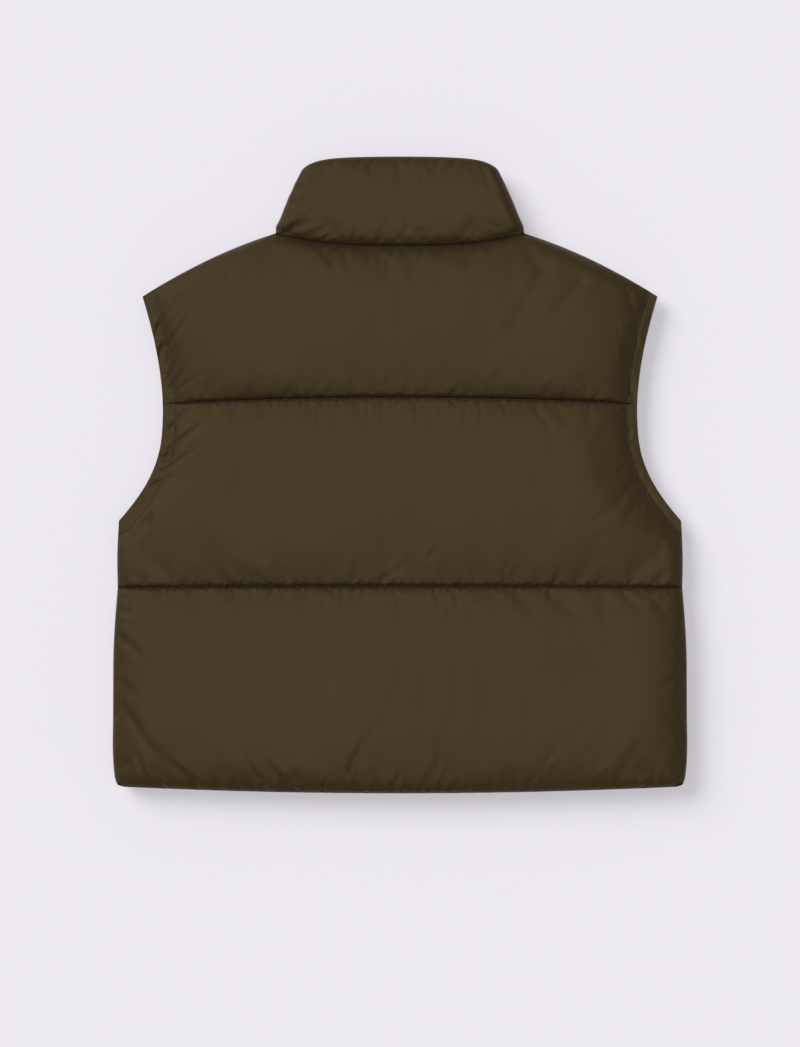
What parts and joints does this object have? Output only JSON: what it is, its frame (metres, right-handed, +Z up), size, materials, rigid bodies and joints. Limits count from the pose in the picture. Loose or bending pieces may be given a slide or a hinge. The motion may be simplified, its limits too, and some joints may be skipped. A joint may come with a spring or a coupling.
{
  "type": "puffer vest",
  "caption": "Cropped sleeveless puffer vest with a stand collar and a front zip, quilted in wide padded sections, zipped shut and laid flat with its back up.",
  "frame": {"origin": "under the middle of the vest's outline, on the surface that the front lies on", "axes": "+X to the viewer's right, which is the wearer's right, +Y from the hem to the collar, +Z up out of the back"},
  "size_m": [0.5466, 0.6049, 0.0335],
  "materials": {
    "shell": "matt woven nylon with a faint sheen",
    "zip_tape": "matt woven polyester",
    "zip_teeth": "moulded acetal",
    "zip_metal": "dark enamel"
  },
  "bodies": {
    "vest": {"back_top": "shell", "back_middle": "shell", "back_bottom": "shell", "left_front_top": "shell", "left_front_middle": "shell", "left_front_bottom": "shell", "right_front_top": "shell", "right_front_middle": "shell", "right_front_bottom": "shell", "collar": "shell", "zip_tape_left": "zip_tape", "zip_tape_right": "zip_tape", "zip_chain": "zip_teeth", "zip_box": "zip_metal", "zip_stop_left": "zip_metal", "zip_stop_right": "zip_metal", "zip_slider": "zip_metal"},
    "zip_pull": {"zip_pull": "zip_metal"}
  },
  "joints": [
    {"name": "zip_pull_hinge", "type": "hinge", "parent": "vest", "child": "zip_pull", "pos_m": [0, 0.2505, 0.0084], "axis": [1, 0, 0], "range_deg": [-14, 160]}
  ]
}
